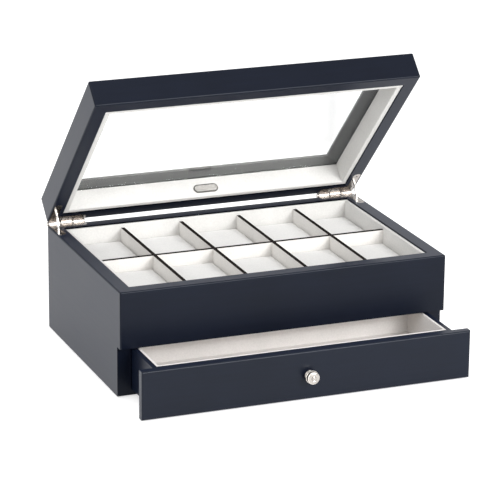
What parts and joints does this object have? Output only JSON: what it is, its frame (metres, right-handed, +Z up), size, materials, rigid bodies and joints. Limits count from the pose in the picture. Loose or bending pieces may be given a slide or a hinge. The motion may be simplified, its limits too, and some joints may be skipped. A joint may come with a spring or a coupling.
{
  "type": "watch box with drawer",
  "caption": "Box with a glazed hinged lid over cushioned compartments for wristwatches, and a shallow drawer below.",
  "frame": {"origin": "middle of the face that the box rests on, under the middle of its case", "axes": "+X to the right along the box's longest side, +Y towards the hinges, +Z up; the drawer and its knob face -Y"},
  "size_m": [0.318, 0.2992, 0.2738],
  "materials": {
    "painted_wood": "satin black paint on wood",
    "bare_board": "bare thin board",
    "suede_lining": "cream suede cloth over board",
    "dark_divider": "dark cloth over thin board",
    "cushion_cloth": "cream suede cloth over soft filling",
    "base_felt": "black felt",
    "nickel_plate": "nickel plate",
    "turned_nickel": "turned and brushed nickel",
    "clear_glass": "clear flat glass"
  },
  "bodies": {
    "case": {"side_panel_left": "painted_wood", "side_panel_right": "painted_wood", "back_panel": "painted_wood", "front_panel": "painted_wood", "compartment_floor": "bare_board", "base_panel": "painted_wood", "base_felt": "base_felt", "case_lining_front": "suede_lining", "case_lining_back": "suede_lining", "case_lining_left": "suede_lining", "case_lining_right": "suede_lining", "compartment_lining": "suede_lining", "long_divider_1": "dark_divider", "long_divider_2": "dark_divider", "long_divider_3": "dark_divider", "long_divider_4": "dark_divider", "cross_divider": "dark_divider", "case_leaf_left": "nickel_plate", "case_leaf_right": "nickel_plate", "hinge_pin_left": "nickel_plate", "hinge_pin_right": "nickel_plate", "case_hinge_screws": "nickel_plate"},
    "lid": {"lid_rail_front": "painted_wood", "lid_rail_back": "painted_wood", "lid_rail_left": "painted_wood", "lid_rail_right": "painted_wood", "lid_glass": "clear_glass", "lid_lining_front": "suede_lining", "lid_lining_back": "suede_lining", "lid_lining_left": "suede_lining", "lid_lining_right": "suede_lining", "plaque": "turned_nickel", "lid_leaf_left": "nickel_plate", "lid_leaf_right": "nickel_plate", "lid_hinge_screws": "nickel_plate"},
    "stay_arm_left": {"stay_arm_left": "nickel_plate"},
    "stay_arm_right": {"stay_arm_right": "nickel_plate"},
    "drawer": {"drawer_front": "painted_wood", "drawer_box_front": "painted_wood", "drawer_box_back": "painted_wood", "drawer_side_left": "painted_wood", "drawer_side_right": "painted_wood", "drawer_bottom": "bare_board", "drawer_floor_lining": "suede_lining", "drawer_side_linings": "suede_lining", "drawer_end_linings": "suede_lining", "drawer_partition": "suede_lining", "knob": "turned_nickel", "knob_screw": "nickel_plate"},
    "cushion_back_1": {"cushion_back_1": "cushion_cloth"},
    "cushion_back_2": {"cushion_back_2": "cushion_cloth"},
    "cushion_back_3": {"cushion_back_3": "cushion_cloth"},
    "cushion_back_4": {"cushion_back_4": "cushion_cloth"},
    "cushion_back_5": {"cushion_back_5": "cushion_cloth"},
    "cushion_front_1": {"cushion_front_1": "cushion_cloth"},
    "cushion_front_2": {"cushion_front_2": "cushion_cloth"},
    "cushion_front_3": {"cushion_front_3": "cushion_cloth"},
    "cushion_front_4": {"cushion_front_4": "cushion_cloth"},
    "cushion_front_5": {"cushion_front_5": "cushion_cloth"}
  },
  "joints": [
    {"name": "lid_hinge", "type": "hinge", "parent": "case", "child": "lid", "pos_m": [0, 0.109, 0.1022], "axis": [-1, 0, 0], "range_deg": [-45.6, 46.4]},
    {"name": "stay_arm_left_swing", "type": "hinge", "parent": "case", "child": "stay_arm_left", "pos_m": [0, 0.109, 0.1022], "axis": [-1, 0, 0], "range_deg": [-22.8, 23.2]},
    {"name": "stay_arm_right_swing", "type": "hinge", "parent": "case", "child": "stay_arm_right", "pos_m": [0, 0.109, 0.1022], "axis": [-1, 0, 0], "range_deg": [-22.8, 23.2]},
    {"name": "drawer_slide", "type": "slide", "parent": "case", "child": "drawer", "axis": [0, -1, 0], "range_m": [-0.057, 0.073]},
    {"name": "cushion_back_1_lift", "type": "slide", "parent": "case", "child": "cushion_back_1", "axis": [0, 0, 1], "range_m": [0, 0.036]},
    {"name": "cushion_back_2_lift", "type": "slide", "parent": "case", "child": "cushion_back_2", "axis": [0, 0, 1], "range_m": [0, 0.05]},
    {"name": "cushion_back_3_lift", "type": "slide", "parent": "case", "child": "cushion_back_3", "axis": [0, 0, 1], "range_m": [0, 0.05]},
    {"name": "cushion_back_4_lift", "type": "slide", "parent": "case", "child": "cushion_back_4", "axis": [0, 0, 1], "range_m": [0, 0.05]},
    {"name": "cushion_back_5_lift", "type": "slide", "parent": "case", "child": "cushion_back_5", "axis": [0, 0, 1], "range_m": [0, 0.036]},
    {"name": "cushion_front_1_lift", "type": "slide", "parent": "case", "child": "cushion_front_1", "axis": [0, 0, 1], "range_m": [0, 0.05]},
    {"name": "cushion_front_2_lift", "type": "slide", "parent": "case", "child": "cushion_front_2", "axis": [0, 0, 1], "range_m": [0, 0.05]},
    {"name": "cushion_front_3_lift", "type": "slide", "parent": "case", "child": "cushion_front_3", "axis": [0, 0, 1], "range_m": [0, 0.05]},
    {"name": "cushion_front_4_lift", "type": "slide", "parent": "case", "child": "cushion_front_4", "axis": [0, 0, 1], "range_m": [0, 0.05]},
    {"name": "cushion_front_5_lift", "type": "slide", "parent": "case", "child": "cushion_front_5", "axis": [0, 0, 1], "range_m": [0, 0.05]}
  ],
  "couplings": [
    {"joint": "stay_arm_left_swing", "follows": "lid_hinge", "ratio": 0.5},
    {"joint": "stay_arm_right_swing", "follows": "lid_hinge", "ratio": 0.5}
  ]
}
